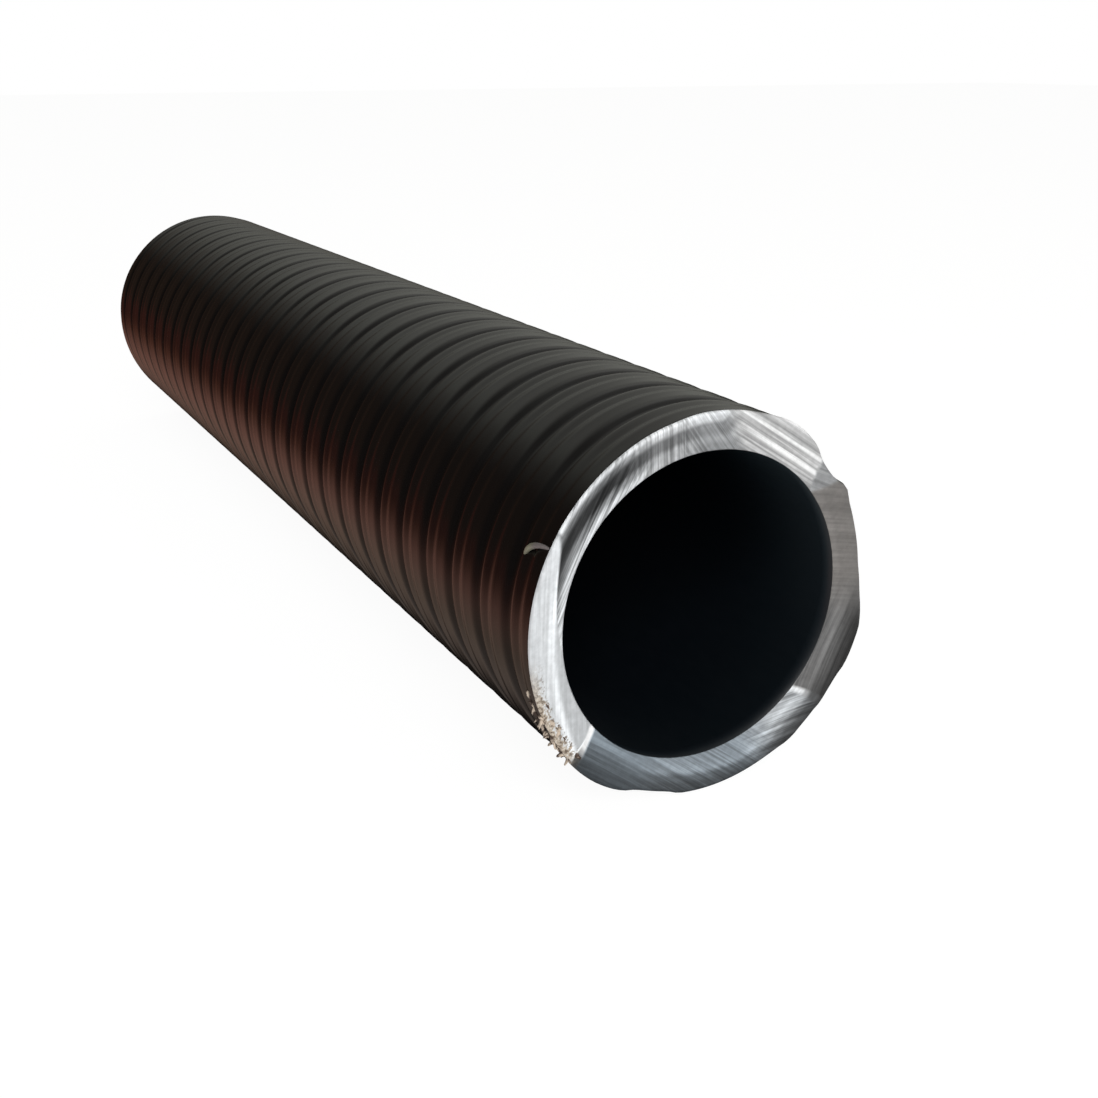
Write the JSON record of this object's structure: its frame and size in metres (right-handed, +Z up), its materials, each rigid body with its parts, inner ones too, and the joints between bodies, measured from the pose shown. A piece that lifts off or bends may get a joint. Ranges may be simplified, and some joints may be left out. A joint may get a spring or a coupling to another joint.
{
  "type": "spiral-ribbed black vinyl hose",
  "caption": "Straight offcut of spiral-ribbed flexible vinyl hose, opaque black, open through its smooth bore and cut off at both ends.",
  "frame": {"origin": "on the ground, below the middle of the hose's overall length", "axes": "+Y along the hose from the hand-cut end to the far end, +Z up, lying on its side"},
  "size_m": [0.0484, 0.2258, 0.0483],
  "materials": {
    "black_vinyl": "glossy moulded black vinyl, satin grey where a blade cut it"
  },
  "bodies": {
    "root": {"ribbed_hose": "black_vinyl"}
  },
  "joints": []
}
